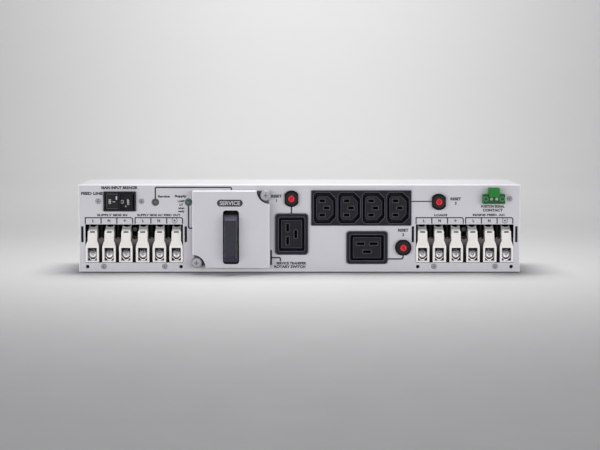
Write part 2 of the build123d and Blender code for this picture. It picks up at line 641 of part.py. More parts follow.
recess_floor = -13.0
with BuildPart() as c13_block:
    blocks(0, c13_proud, [(c13_centre_x, c13_centre_z)], c13_block_width, c13_block_height, 1)
    chamfer(c13_block.faces().sort_by(Axis.Y)[0].edges(), 0.5)
    blocks(-26, 0, [(c13_centre_x, c13_centre_z)], 96.6, 32.6, 1)
    for x, z in c13_positions:
        cut_recess(c13_outline(c13_proud, x, z, 21.6, 30.4, 6.0, 2.4), c13_proud - recess_floor, 0.7)
        raise_island(c13_outline(recess_floor, x, z, 16.8, 23.0, 5.2, 2.0), 1.2 - recess_floor)
        blocks(-26, c13_proud, c13_pins(x, z), 4.8, 2.2, mode=Mode.SUBTRACT)
write(c13_block.part, "c13_block")


def c19_pins(spot, upright):
    """Line, neutral and earth slot centres of one large outlet."""
    x, z = spot
    if upright:
        return [(x - 3.9, z + 6.5), (x - 3.9, z - 6.5), (x + 4.1, z)]
    return [(x - 6.5, z + 3.9), (x + 6.5, z + 3.9), (x, z - 4.1)]


def c19_outlet(spot, upright):
    """Large appliance outlet: a flange, a deep moat and an island with three slots."""
    def sized(short, long):
        return (short, long) if upright else (long, short)

    with BuildPart() as outlet:
        blocks(0, c19_proud, [spot], *sized(c19_short, c19_long), 3.4)
        chamfer(outlet.faces().sort_by(Axis.Y)[0].edges(), 0.7)
        blocks(-30, 0, [spot], *sized(27.6, 36.6), 2)
        with BuildSketch(face(c19_proud)) as recess:
            with Locations(spot):
                RectangleRounded(*sized(25.4, 33.4), 1.6)
        cut_recess(recess.sketch, c19_proud - recess_floor, 0.8)
        with BuildSketch(face(recess_floor)) as island:
            with Locations(spot):
                RectangleRounded(*sized(20.7, 27.8), 0.6)
        raise_island(island.sketch, c19_proud - 1 - recess_floor)
        blocks(-30, c19_proud, c19_pins(spot, upright), *sized(2.0, 7.2), mode=Mode.SUBTRACT)
    return outlet.part


write(c19_outlet(c19_upright, True), "c19_upright")
write(c19_outlet(c19_lying, False), "c19_lying")

contact_front, slit_back = -8.0, -17.0
with BuildPart() as outlet_contacts:
    # brass blades that reach out of the back, each split in front into a spring jaw
    for pins, back, width, height, slit_width, slit_height in (
            ([pin for spot in c13_positions for pin in c13_pins(*spot)], -33, 4.2, 1.6, 4.2, 0.5),
            (c19_pins(c19_upright, True), -38, 1.4, 6.4, 0.5, 6.4),
            (c19_pins(c19_lying, False), -38, 6.4, 1.4, 6.4, 0.5)):
        blocks(back, contact_front, pins, width, height)
        blocks(slit_back, contact_front, pins, slit_width, slit_height, mode=Mode.SUBTRACT)
write(outlet_contacts.part, "outlet_contacts")


# ---------------------------------------------------------------- push-to-reset breakers
with BuildPart() as reset_breakers:
    for x, z, width, height in resets:
        blocks(-30, inner_face - touch, [(x, z)], width, height, 1)
        rods(inner_face - touch, reset_neck_proud, [(x, z)], reset_neck_radius)
        rods(-14, reset_neck_proud, [(x, z)], reset_button_radius + 0.06, mode=Mode.SUBTRACT)
        # screw tabs at the back
        reach = (max(width, height) - 12) / 2
        along = (reach, 0) if width > height else (0, reach)
        blocks(-38, -30, [(x - along[0], z - along[1]), (x + along[0], z + along[1])], 6.3, 1)
write(reset_breakers.part, "reset_breakers")

with BuildPart() as reset_nuts:
    for (x, z), upright in zip(reset_spots, (True, True, False)):
        with BuildSketch(face()):
            with Locations((x, z)):
                Circle(reset_nut_radius)
                if upright:
                    Rectangle(reset_nut_flats, 2 * reset_nut_radius, mode=Mode.INTERSECT)
                else:
                    Rectangle(2 * reset_nut_radius, reset_nut_flats + 1.6, mode=Mode.INTERSECT)
                Circle(reset_neck_radius + 0.05, mode=Mode.SUBTRACT)
        extrude(amount=4.2)
write(reset_nuts.part, "reset_nuts")

for number, spot in enumerate(reset_spots, start=1):
    with BuildPart() as reset_button:
        rods(-10, reset_button_proud, [spot], reset_button_radius)
        fillet(reset_button.faces().sort_by(Axis.Y)[0].edges(), 1.2)
    write(reset_button.part, f"reset_button_{number}")


# ---------------------------------------------------------------- detection connector
contact_spots = [(plug_x + side * plug_pitch / 2, plug_z) for side in (-1, 1)]
flange_spots = [(plug_x + side * 8.1, plug_z) for side in (-1, 1)]

with BuildPart() as detection_board:
    blocks(-11.6, -10, [(193, plug_z)], 38, 18, 1)
    rods(-11.6, -10, [board_screw], 1.6, mode=Mode.SUBTRACT)
    rods(-11.6, -10, contact_spots, 0.6, mode=Mode.SUBTRACT)
write(detection_board.part, "detection_board")

with BuildPart() as detection_header:
    blocks(-10, 1.2, [header_spot], 20.6, 8.6, 0.4)
    rods(-10, 1.2, contact_spots, 0.55, mode=Mode.SUBTRACT)
    rods(-6, 1.2, flange_spots, 1.1, mode=Mode.SUBTRACT)
write(detection_header.part, "detection_header")

with BuildPart() as detection_pins:
    rods(-13, 8, contact_spots, 0.5)
write(detection_pins.part, "detection_pins")

with BuildPart() as detection_plug:
    # low flange bar, and a tall centre that takes the wires from above
    blocks(1.2 + gap, 8.5, [header_spot], 22, 9.8, 0.8)
    blocks(1.2 + gap, 13.5, [(plug_x, plug_z + 3.1)], 10.2, 16, 0.5)
    blocks(8.5, 13.5, [(plug_x, plug_z - 1.4)], 10.2, 7, mode=Mode.SUBTRACT)
    rods(0, 9, contact_spots, 0.58, mode=Mode.SUBTRACT)
    rods(0, 9, flange_spots, 1.1, mode=Mode.SUBTRACT)
    rods(7, 9, flange_spots, 1.9, mode=Mode.SUBTRACT)
    wire_axes = [(x, y_at(9)) for x, z in contact_spots]
    posts(plug_z + 6, plug_z + 12, wire_axes, 1.3, mode=Mode.SUBTRACT)
write(detection_plug.part, "detection_plug")

with BuildPart() as detection_plug_screws:
    rods(-5, 7, flange_spots, 1.0)
    rods(7, 8.3, flange_spots, 1.8)
    blocks(7.5, 8.3, flange_spots, 3.6, 0.5, mode=Mode.SUBTRACT)
    # flat clamp screws of the two contacts
    rods(8.5, 9.1, contact_spots, 1.5)
    blocks(8.8, 9.1, contact_spots, 3, 0.5, mode=Mode.SUBTRACT)
write(detection_plug_screws.part, "detection_plug_screws")

with BuildPart() as detection_board_screw:
    rods(0, 1.4, [board_screw], 2.5)
    fillet(detection_board_screw.faces().sort_by(Axis.Y)[0].edges(), 0.5)
    rods(-14, 0, [board_screw], 1.5)
    rods(-10, inner_face, [board_screw], 2.6)
    cross_recess(1.4, [board_screw], 2.8, 0.8, 0.7)
write(detection_board_screw.part, "detection_board_screw")


# ---------------------------------------------------------------- busbars
bar_front, bar_back = -69.0, -72.0
bar_heights = (14.0, 34.0)
bar_holes = [(-20.0 + 20 * step, z) for step in range(7) for z in bar_heights]
with BuildPart() as busbars:
    blocks(bar_back, bar_front, [(40, z) for z in bar_heights], 140, 12)
    rods(bar_back, bar_front, bar_holes, 2.1, mode=Mode.SUBTRACT)
write(busbars.part, "busbars")

with BuildPart() as busbar_posts:
    post_spots = [(-26.0, y_at(-75)), (106.0, y_at(-75))]
    posts(sheet, 42, post_spots, 3)
write(busbar_posts.part, "busbar_posts")
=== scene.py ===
import json
import math

import bpy
import bmesh
from mathutils import Matrix, Vector


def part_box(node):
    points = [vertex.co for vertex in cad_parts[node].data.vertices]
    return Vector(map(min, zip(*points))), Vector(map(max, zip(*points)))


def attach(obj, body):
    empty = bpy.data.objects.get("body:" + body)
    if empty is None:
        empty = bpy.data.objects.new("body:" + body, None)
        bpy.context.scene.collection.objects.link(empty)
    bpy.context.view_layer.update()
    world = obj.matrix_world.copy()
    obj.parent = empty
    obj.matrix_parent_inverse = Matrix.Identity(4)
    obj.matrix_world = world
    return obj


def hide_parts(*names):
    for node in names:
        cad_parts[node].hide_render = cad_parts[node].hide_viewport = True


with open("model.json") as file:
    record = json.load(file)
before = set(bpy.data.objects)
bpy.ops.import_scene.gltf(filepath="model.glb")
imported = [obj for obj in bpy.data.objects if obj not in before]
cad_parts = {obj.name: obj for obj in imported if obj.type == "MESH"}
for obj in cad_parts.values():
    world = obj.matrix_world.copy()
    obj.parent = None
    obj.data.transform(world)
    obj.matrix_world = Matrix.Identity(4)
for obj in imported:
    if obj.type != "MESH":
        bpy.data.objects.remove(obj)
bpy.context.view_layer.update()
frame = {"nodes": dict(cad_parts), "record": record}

MM = 0.001
nodes = frame["nodes"]

# ---------------------------------------------------------------- places taken from the frame
panel_low, panel_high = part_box("connection_panel")
face_y = panel_low.y
panel_height = panel_high.z - panel_low.z


def middle(node):
    """(x, z) in millimetres of the centre of a CAD node, seen from the front."""
    low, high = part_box(node)
    return (low.x + high.x) / 2 / MM, (low.z + high.z) / 2 / MM


def edges(node):
    """Left, right, bottom and top of a CAD node in millimetres, seen from the front."""
    low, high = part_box(node)
    return low.x / MM, high.x / MM, low.z / MM, high.z / MM


def front_of(node):
    """How far a CAD node stands proud of the panel, in millimetres."""
    return (face_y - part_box(node)[0].y) / MM


def at(x, z, proud=0.0):
    """Point in metres from millimetres across, up, and out of the panel."""
    return Vector((x * MM, face_y - proud * MM, z * MM))


# ---------------------------------------------------------------- materials
class Shader:
    """A Principled material whose textures are laid out in millimetres of the object."""

    def __init__(self, name, colour, roughness, metallic=0.0, coat=0.0, specular=0.5):
        self.material = bpy.data.materials.new(name)
        self.material.use_nodes = True
        self.tree = self.material.node_tree
        self.surface = self.tree.nodes["Principled BSDF"]
        self.colour = colour
        self.roughness = roughness
        self.surface.inputs["Base Color"].default_value = (*colour, 1)
        self.surface.inputs["Roughness"].default_value = roughness
        self.surface.inputs["Metallic"].default_value = metallic
        self.surface.inputs["Coat Weight"].default_value = coat
        self.surface.inputs["Coat Roughness"].default_value = 0.15
        self.surface.inputs["Specular IOR Level"].default_value = specular
        self.coordinates = self.node("ShaderNodeTexCoord").outputs["Object"]

    def node(self, kind):
        return self.tree.nodes.new(kind)

    def link(self, source, target):
        self.tree.links.new(source, target)

    def noise(self, grain_mm, detail=3.0, stretch=(1, 1, 1)):
        """Noise whose grain has about this size in millimetres."""
        mapping = self.node("ShaderNodeMapping")
        mapping.inputs["Scale"].default_value = stretch
        self.link(self.coordinates, mapping.inputs["Vector"])
        noise = self.node("ShaderNodeTexNoise")
        noise.inputs["Scale"].default_value = 1 / (grain_mm * MM)
        noise.inputs["Detail"].default_value = detail
        self.link(mapping.outputs["Vector"], noise.inputs["Vector"])
        return noise.outputs["Fac"]

    def spread(self, factor, low, high):
        """Maps a noise's middle range onto low to high."""
        mapped = self.node("ShaderNodeMapRange")
        mapped.inputs["From Min"].default_value = 0.3
        mapped.inputs["From Max"].default_value = 0.7
        mapped.inputs["To Min"].default_value = low
        mapped.inputs["To Max"].default_value = high
        self.link(factor, mapped.inputs["Value"])
        return mapped.outputs["Result"]

    def vary_colour(self, grain_mm, amount, detail=2.0):
        """Lightens and darkens the colour in soft patches."""
        mix = self.node("ShaderNodeMix")
        mix.data_type = "RGBA"
        self.link(self.spread(self.noise(grain_mm, detail), 0, 1), mix.inputs["Factor"])
        mix.inputs["A"].default_value = (*[c * (1 - amount) for c in self.colour], 1)
        mix.inputs["B"].default_value = (*[min(c * (1 + amount), 1) for c in self.colour], 1)
        self.link(mix.outputs["Result"], self.surface.inputs["Base Color"])
        return self

    def paint_shading_along(self, axis, low, high, stops):
        """Paints light and shade into the colour by blending it between two coordinates in metres; stops are (share
        of the way, colour).
        """
        split = self.node("ShaderNodeSeparateXYZ")
        self.link(self.coordinates, split.inputs["Vector"])
        share = self.node("ShaderNodeMapRange")
        share.inputs["From Min"].default_value = low
        share.inputs["From Max"].default_value = high
        self.link(split.outputs[axis], share.inputs["Value"])
        ramp = self.node("ShaderNodeValToRGB")
        spots = ramp.color_ramp.elements
        for number, (place, colour) in enumerate(stops):
            stop = spots[number] if number < len(spots) else spots.new(place)
            stop.position = place
            stop.color = (*colour, 1)
        self.link(share.outputs["Result"], ramp.inputs["Fac"])
        self.link(ramp.outputs["Color"], self.surface.inputs["Base Color"])
        return self

    def paint_shading_by_height(self, stops):
        """Paints light and shade into the colour up the object; stops are (height in millimetres, colour)."""
        top = stops[-1][0]
        return self.paint_shading_along("Z", 0, top * MM, [(height / top, colour) for height, colour in stops])

    def paint_shading_by_depth(self, stops):
        """Paints shade into the colour from inside the panel outward; stops are (proud in millimetres, colour)."""
        low, high = stops[0][0], stops[-1][0]
        return self.paint_shading_along("Y", face_y - low * MM, face_y - high * MM,
                                [((proud - low) / (high - low), colour) for proud, colour in stops])

    def paint_edge_highlights(self, gain):
        """Paints a highlight on the rounded edges between a face square to the front and its sides."""
        split = self.node("ShaderNodeSeparateXYZ")
        self.link(self.node("ShaderNodeNewGeometry").outputs["Normal"], split.inputs["Vector"])
        size = self.node("ShaderNodeMath")
        size.operation = "ABSOLUTE"
        self.link(split.outputs["Y"], size.inputs[0])
        ramp = self.node("ShaderNodeValToRGB")
        spots = ramp.color_ramp.elements
        for number, (place, share) in enumerate(((0.12, 0), (0.35, 1), (0.9, 1), (0.985, 0))):
            stop = spots[number] if number < len(spots) else spots.new(place)
            stop.position, stop.color = place, (share, share, share, 1)
        self.link(size.outputs["Value"], ramp.inputs["Fac"])
        mix = self.node("ShaderNodeMix")
        mix.data_type = "RGBA"
        base = self.surface.inputs["Base Color"]
        self.link(base.links[0].from_socket, mix.inputs["A"])
        # the lighter colour of the painted edge highlight
        mix.inputs["B"].default_value = (*[min(c * gain, 0.95) for c in self.colour], 1)
        self.link(ramp.outputs["Color"], mix.inputs["Factor"])
        self.link(mix.outputs["Result"], base)
        return self

    def vary_roughness(self, grain_mm, amount, stretch=(1, 1, 1)):
        factor = self.noise(grain_mm, 4.0, stretch)
        low, high = self.roughness - amount, self.roughness + amount
        self.link(self.spread(factor, low, high), self.surface.inputs["Roughness"])
        return self

    def bump(self, grain_mm, height_mm, stretch=(1, 1, 1), detail=2.0):
        """Fine surface relief; a second call adds to the first."""
        bump = self.node("ShaderNodeBump")
        bump.inputs["Strength"].default_value = 1.0
        bump.inputs["Distance"].default_value = height_mm * MM
        self.link(self.noise(grain_mm, detail, stretch), bump.inputs["Height"])
        normal = self.surface.inputs["Normal"]
        if normal.is_linked:
            self.link(normal.links[0].from_socket, bump.inputs["Normal"])
        self.link(bump.outputs["Normal"], normal)
        return self


def powder_coat(name, colour, roughness=0.45, edge_highlight_gain=1.9):
    """Stoved paint on sheet steel: faint orange peel, soft unevenness and a painted highlight on its rounded edges.
    """
    coat = Shader(name, colour, roughness, specular=0.4)
    coat.vary_colour(45, 0.012).paint_edge_highlights(edge_highlight_gain).vary_roughness(6, 0.05)
    return coat.bump(1.6, 0.010).bump(0.35, 0.004).material


def moulding(name, colour, roughness=0.5, grain_mm=0.25, relief_mm=0.008, shade=0.06, specular=0.35, edge_highlight_gain=1.0):
    """Moulded plastic with a spark-eroded grain, and a painted highlight on its rounded edges when the edge gain is
    above one.
    """
    plastic = Shader(name, colour, roughness, specular=specular)
    plastic.vary_colour(9, shade).paint_edge_highlights(edge_highlight_gain).vary_roughness(3, 0.07)
    return plastic.bump(grain_mm, relief_mm, detail=3.0).material


def metal(name, colour, roughness=0.35, stretch=(1, 1, 1)):
    """Plated or bare metal with faint drawing marks."""
    plated = Shader(name, colour, roughness, metallic=1.0)
    plated.vary_colour(2.5, 0.08).vary_roughness(1.2, 0.1, stretch)
    return plated.bump(0.3, 0.006, stretch).material


def gloss(name, colour, roughness=0.2, coat=0.4, specular=0.5):
    """Polished plastic or lens."""
    polished = Shader(name, colour, roughness, coat=coat, specular=specular)
    return polished.vary_colour(3, 0.05).vary_roughness(5, 0.04).material


def ink(name, colour):
    """Screen-printed ink: flat, a little patchy at its edges."""
    printed = Shader(name, colour, 0.55)
    return printed.vary_colour(0.8, 0.12).bump(0.3, 0.003).material


# Panel and cover paint carry a painted highlight on their rounded edges.
paint = powder_coat("panel_paint", (0.50, 0.495, 0.53))
top_paint = powder_coat("cover_paint", (0.51, 0.51, 0.535))
screw_paint = powder_coat("painted_screw", (0.33, 0.325, 0.355), 0.4, 1.0)
zinc = metal("zinc_steel", (0.62, 0.62, 0.64), 0.34)
# Black plastic with a strong painted highlight on its rounded edges.
black = moulding("black_plastic", (0.0050, 0.0050, 0.0080), 0.42, specular=0.2, edge_highlight_gain=5)
# Outlet plastic painted near-black behind the panel face as painted shade in the recesses and slots, with a strong
# painted highlight on its chamfers.
outlet_painted_shade_black = Shader("outlet_painted_shade_plastic", (0.0062, 0.0062, 0.0092), 0.42, specular=0.14).paint_shading_by_depth(
    [(-13, (0.0003, 0.0003, 0.0006)), (-0.3, (0.0003, 0.0003, 0.0006)), (0.6, (0.0055, 0.0055, 0.0096)),
     (4, (0.0055, 0.0055, 0.0096))]).paint_edge_highlights(13).vary_roughness(3, 0.07).bump(0.25, 0.008, detail=3.0).material
# Handle plastic with a painted highlight on its rounded edges.
handle_grey = moulding("handle_plastic", (0.0145, 0.0145, 0.025), 0.45, specular=0.25, edge_highlight_gain=2.3)
# White terminal plastic painted darker above 41.2 mm as painted shade on the caps under the panel's opening, and a
# little darker towards the bottom.
white = Shader("white_plastic", (0.80, 0.77, 0.75), 0.42, specular=0.35).paint_shading_by_height(
    [(0, (0.74, 0.71, 0.69)), (41.2, (0.78, 0.75, 0.73)), (42.2, (0.62, 0.60, 0.61)), (48, (0.52, 0.50, 0.51))]
).vary_roughness(3, 0.07).bump(0.4, 0.006, detail=3.0).material
smoke = gloss("smoke_lens", (0.05, 0.05, 0.055))
green_lens = gloss("green_lens", (0.04, 0.09, 0.07))
red = gloss("red_plastic", (0.56, 0.003, 0.010), 0.36, 0.0, 0.12)
# Darker and paler copies of the button red: painted shade for the skirts round the buttons and a painted highlight
# for their ridges.
red_painted_shade = gloss("red_painted_shade", (0.07, 0.001, 0.003), 0.4, 0.0, 0.2)
red_painted_highlight = gloss("red_painted_highlight", (0.60, 0.055, 0.075), 0.4, 0.0, 0.2)
green = moulding("green_plastic", (0.012, 0.175, 0.022), 0.45, specular=0.14)
# Darker green painted as shade on the plug's face.
green_face_painted_shade = moulding("green_face_painted_shade", (0.012, 0.075, 0.024), 0.5, specular=0.14)
board = gloss("circuit_board", (0.015, 0.12, 0.05), 0.35)
brass = metal("brass", (0.75, 0.58, 0.28), 0.32)
# Pad metal painted darker above 15.5 mm and near-black above 21 mm, as painted shade from the pocket's top over the
# pad.
pad_metal_painted_shade = Shader("pad_metal_painted_shade", (0.50, 0.49, 0.52), 0.45, metallic=1.0).paint_shading_by_height(
    [(0, (0.58, 0.57, 0.59)), (15.5, (0.54, 0.53, 0.55)), (18.5, (0.30, 0.29, 0.31)), (21, (0.03, 0.03, 0.03)),
     (30, (0.02, 0.02, 0.02))]).vary_roughness(1.2, 0.1).bump(0.3, 0.006).material
# Brass painted near-black, as painted shade on the outlet contacts deep in their slots.
contact_brass_painted_shade = metal("contact_brass_painted_shade", (0.012, 0.011, 0.010), 0.5)
# Dark grey painted as shade on the walls of cross recesses.
painted_shade_in_recesses = powder_coat("painted_shade_in_recesses", (0.16, 0.16, 0.175), 0.5)
# Dark green-tinted metal for the plug's screws, a painted shade and painted green reflection from the plug round
# them.
plug_screw_painted_shade_metal = metal("plug_screw_painted_shade_metal", (0.16, 0.20, 0.16), 0.4)
# Near-black green painted as shade in the wells round the plug's contact screws.
green_well_painted_shade = moulding("green_well_painted_shade", (0.004, 0.03, 0.01), 0.5)
# Paler green painted as a highlight on the rings round the plug's flange screws.
green_ring_painted_highlight = moulding("green_ring_painted_highlight", (0.10, 0.30, 0.13), 0.45)
# Dark grey painted as shade on the curved notch walls of the cover and on the two screws deep between the terminals.
painted_shade_dark_grey = moulding("painted_shade_dark_grey", (0.05, 0.05, 0.056), 0.55)
# Grey painted as shade on the floors of the cover's notches.
notch_floor_painted_shade = moulding("notch_floor_painted_shade", (0.13, 0.13, 0.142), 0.55)
# Grey ink for rings painted as shade round the lamp lenses and the panel screw heads.
ink_for_painted_shade = ink("ink_for_painted_shade", (0.17, 0.17, 0.19))
dark_ink = ink("dark_ink", (0.012, 0.012, 0.016))
light_ink = ink("light_ink", (0.42, 0.42, 0.43))
# Grey painted as a highlight on the rims round the outlet slots.
rim_painted_highlight = moulding("slot_rim_highlight_plastic", (0.05, 0.05, 0.068), 0.5)
faint_ink = ink("faint_ink", (0.09, 0.09, 0.10))
rocker_black = moulding("rocker_plastic", (0.0035, 0.0035, 0.0055), 0.5, specular=0.2)
# Deep black: the switch plate's and reset nuts' own colour, and painted shade on pocket backs, test slots, bore
# mouths, pad arcs, slot backings and rims, outlet lead-ins and the sheets beside the switch.
black_and_painted_shade = moulding("black_and_painted_shade", (0.0025, 0.0025, 0.003), 0.6, specular=0.15)
# Terminal base plastic painted near-black below 19 mm as painted shade and lighter up to 33.2 mm as a painted sheen
# on the barrier tops.
barrier_painted_sheen_black = Shader("barrier_plastic", (0.01, 0.01, 0.012), 0.55, specular=0.08).paint_shading_by_height(
    [(0, (0.0008, 0.0008, 0.001)), (19, (0.001, 0.001, 0.0012)), (25, (0.03, 0.027, 0.03)), (31, (0.16, 0.14, 0.15)),
     (33.2, (0.20, 0.18, 0.19)), (33.6, (0.002, 0.002, 0.003)), (50, (0.002, 0.002, 0.003))]).material

node_materials = {
    "terminal_base_left": barrier_painted_sheen_black, "terminal_base_right": barrier_painted_sheen_black,
    "input_rocker": rocker_black, "input_breaker_bezel": rocker_black, "bypass_switch_plate": black_and_painted_shade,
    "detection_plug_screws": plug_screw_painted_shade_metal, "outlet_contacts": contact_brass_painted_shade,
    "reset_nuts": black_and_painted_shade, "c13_block": outlet_painted_shade_black, "c19_upright": outlet_painted_shade_black, "c19_lying": outlet_painted_shade_black,
}
slot_materials = {
    "panel_paint": paint, "cover_paint": top_paint, "painted_screw": screw_paint,
    "zinc_steel": zinc, "black_plastic": black, "handle_plastic": handle_grey,
    "white_plastic": white, "smoke_lens": smoke, "green_lens": green_lens,
    "red_plastic": red, "green_plastic": green, "circuit_board": board, "brass": brass,
}
for part in frame["record"]["subparts"]:
    node = nodes[part["node"]]
    node.data.materials.clear()
    node.data.materials.append(node_materials.get(part["node"], slot_materials[part["material_slot"]]))


# ---------------------------------------------------------------- building pieces
INK = 0.05                                    # thickness of a printed layer, mm


class Surface:
    """A flat face to print on, laid out in millimetres across and up it."""

    def __init__(self, origin, across, up):
        self.origin = Vector(origin)
        self.across, self.up = Vector(across).normalized(), Vector(up).normalized()
        self.normal = self.across.cross(self.up)

    def point(self, u, v, lift=0.0):
        return (self.origin + self.across * u + self.up * v + self.normal * lift) * MM

    def rotation(self):
        return Matrix((self.across, self.up, self.normal)).transposed().to_4x4()

    def raised(self, lift):
        return Surface(self.origin + self.normal * lift, self.across, self.up)


PANEL = Surface((0, face_y / MM, 0), (1, 0, 0), (0, 0, 1))


def add_mesh(name, form, material, body="chassis", smooth=False):
    """Turns a bmesh into a piece that rides on a body."""
    bmesh.ops.recalc_face_normals(form, faces=form.faces)
    data = bpy.data.meshes.new(name)
    form.to_mesh(data)
    form.free()
    for polygon in data.polygons:
        polygon.use_smooth = smooth
    piece = bpy.data.objects.new(name, data)
    bpy.context.scene.collection.objects.link(piece)
    data.materials.append(material)
    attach(piece, body)
    return piece


def rounded(points, radius, steps=5, closed=False):
    """The same path with each inner corner turned through an arc."""
    points = [Vector(p) for p in points]
    count = len(points)
    corners = range(count) if closed else range(1, count - 1)
    path = [] if closed else [points[0]]
    for i in corners:
        before, corner, after = points[i - 1], points[i], points[(i + 1) % count]
        way_in, way_out = (corner - before).normalized(), (after - corner).normalized()
        turn = way_in.angle(way_out)
        cut = min(radius * math.tan(turn / 2), (corner - before).length / 2, (after - corner).length / 2)
        start, end = corner - way_in * cut, corner + way_out * cut
        for step in range(steps + 1):
            t = step / steps
            path.append(start * (1 - t) ** 2 + corner * 2 * t * (1 - t) + end * t ** 2)
    return path if closed else path + [points[-1]]


def print_line(name, points, width, surface=PANEL, body="chassis", material=None, radius=1.5, closed=False):
    """A printed line along points in millimetres, a hair above the surface."""
    path = rounded(points, radius, closed=closed)
    form = bmesh.new()
    count = len(path)
    rims = []
    for i, point in enumerate(path):
        before = path[i - 1] if closed or i else point
        after = path[(i + 1) % count] if closed or i < count - 1 else point
        way_in = (point - before).normalized() if (point - before).length else None
        way_out = (after - point).normalized() if (after - point).length else None
        way = ((way_in or way_out) + (way_out or way_in)).normalized()
        across = Vector((-way.y, way.x)) * width / 2
        if way_in and way_out:
            across /= max(math.cos(way_in.angle(way_out) / 2), 0.5)
        rims.append([form.verts.new(surface.point(*(point + side * across), lift))
                     for side, lift in ((-1, 0.01), (-1, INK), (1, INK), (1, 0.01))])
    pairs = list(zip(rims, rims[1:])) + ([(rims[-1], rims[0])] if closed else [])
    for a, b in pairs:
        for k in range(4):
            form.faces.new((a[k], a[(k + 1) % 4], b[(k + 1) % 4], b[k]))
    if not closed:
        form.faces.new(rims[0])
        form.faces.new(rims[-1][::-1])
    return add_mesh(name, form, material or dark_ink, body)


def print_shape(name, outline, surface=PANEL, body="chassis", material=None, thickness=INK):
    """A printed patch with this closed outline."""
    form = bmesh.new()
    back = [form.verts.new(surface.point(x, z, 0.01)) for x, z in outline]
    front = [form.verts.new(surface.point(x, z, thickness)) for x, z in outline]
    form.faces.new(back)
    form.faces.new(front[::-1])
    for i in range(len(outline)):
        j = (i + 1) % len(outline)
        form.faces.new((back[i], back[j], front[j], front[i]))
    return add_mesh(name, form, material or dark_ink, body)


def ring_points(x, z, radius, steps=28, start=0.0, sweep=360.0):
    """(x, z) points round a circle or part of one."""
    return [(x + radius * math.cos(math.radians(start + sweep * k / steps)),
             z + radius * math.sin(math.radians(start + sweep * k / steps))) for k in range(steps)]


def print_words(name, words, x, z, height, width=None, surface=PANEL, body="chassis", material=None,
                turn=0.0, weight=0.08):
    """Printed lettering centred on (x, z); width stretches it to a measured length."""
    lettering = bpy.data.curves.new(name, "FONT")
    lettering.body = words
    lettering.align_x, lettering.align_y = "CENTER", "CENTER"
    lettering.size = height * 1.38 * MM
    lettering.resolution_u = 3
    lettering.offset = weight * height * MM
    lettering.extrude = INK / 2 * MM
    draft = bpy.data.objects.new(name + "_draft", lettering)
    bpy.context.scene.collection.objects.link(draft)
    bpy.context.view_layer.update()
    data = bpy.data.meshes.new_from_object(draft.evaluated_get(bpy.context.evaluated_depsgraph_get()))
    bpy.data.objects.remove(draft)
    xs = [v.co.x for v in data.vertices]
    ys = [v.co.y for v in data.vertices]
    centre = Matrix.Translation((-(max(xs) + min(xs)) / 2, -(max(ys) + min(ys)) / 2, 0))
    stretch = width * MM / (max(xs) - min(xs)) if width else 1.0
    place = Matrix.Translation(surface.point(x, z, INK / 2 + 0.01)) @ surface.rotation()
    data.transform(place @ Matrix.Rotation(math.radians(turn), 4, "Z") @ Matrix.Diagonal((stretch, 1, 1, 1)) @ centre)
    piece = bpy.data.objects.new(name, data)
    bpy.context.scene.collection.objects.link(piece)
    data.materials.clear()
    data.materials.append(material or dark_ink)
    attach(piece, body)
    return piece


def lathe(name, profile, x, z, material, body="chassis", steps=48):
    """A turned piece: (radius, proud) points swept round an axis square to the panel."""
    form = bmesh.new()
    rings = []
    for radius, proud in profile:
        if radius == 0:
            rings.append([form.verts.new(at(x, z, proud))])
        else:
            rings.append([form.verts.new(at(*spot, proud)) for spot in ring_points(x, z, radius, steps)])
    for a, b in zip(rings, rings[1:]):
        for k in range(steps):
            j = (k + 1) % steps
            corners = [a[k % len(a)], a[j % len(a)], b[j % len(b)], b[k % len(b)]]
            unique = list(dict.fromkeys(corners))
            form.faces.new(unique)
    return add_mesh(name, form, material, body, smooth=True)


# ---------------------------------------------------------------- printed guide lines
GUIDE, FRAME_LINE = 1.45, 1.15                  # widths of the printed lines, mm


def print_guides():
    """Lines that lead from each lamp, outlet and switch to what it belongs with."""
    bypass_x, lamp_z = middle("bypass_lamp_lens")
    normal_x = middle("normal_lamp_lens")[0]
    cover_left, cover_right, cover_bottom, cover_top = edges("bypass_cover")
    handle_x = middle("bypass_handle")[0]
    guide_end = middle("bypass_cover")[1]
    rim = 3.6
    high_line = 83.9
    print_line("guide_bypass_position",
               [(bypass_x, lamp_z + rim), (bypass_x, high_line), (handle_x, high_line), (handle_x, cover_top - 0.4)],
               GUIDE)
    print_line("guide_normal_position",
               [(normal_x, lamp_z - rim), (normal_x, guide_end), (cover_left + 0.6, guide_end)], GUIDE)
    block_right, second_reset = edges("c13_block")[1], (138.1, 69.7)
    print_line("guide_c13", [(block_right, 70.0), (second_reset[0] - 6.6, 70.0)], FRAME_LINE)
    upright_top = edges("c19_upright")[3]
    first_reset_x, first_reset_z = middle("reset_button_1")
    print_line("guide_c19_upright", [(first_reset_x, first_reset_z - 8), (first_reset_x, upright_top)], GUIDE)
    lying_right = edges("c19_lying")[1]
    third_reset_x, third_reset_z = middle("reset_button_3")
    print_line("guide_c19_lying", [(lying_right, 12.7), (third_reset_x, 12.7),
                                   (third_reset_x, third_reset_z - 7.5)], GUIDE, radius=2)
    bar_x, bar_low, bar_high = cover_right + 1.3, 6.8, 21.6
    print_line("guide_switch_bar", [(bar_x, bar_low), (bar_x, bar_high)], 1.8)
    print_line("guide_switch", [(bar_x, 14.0), (bar_x + 9.2, 14.0), (bar_x + 9.2, 10.4)], GUIDE)


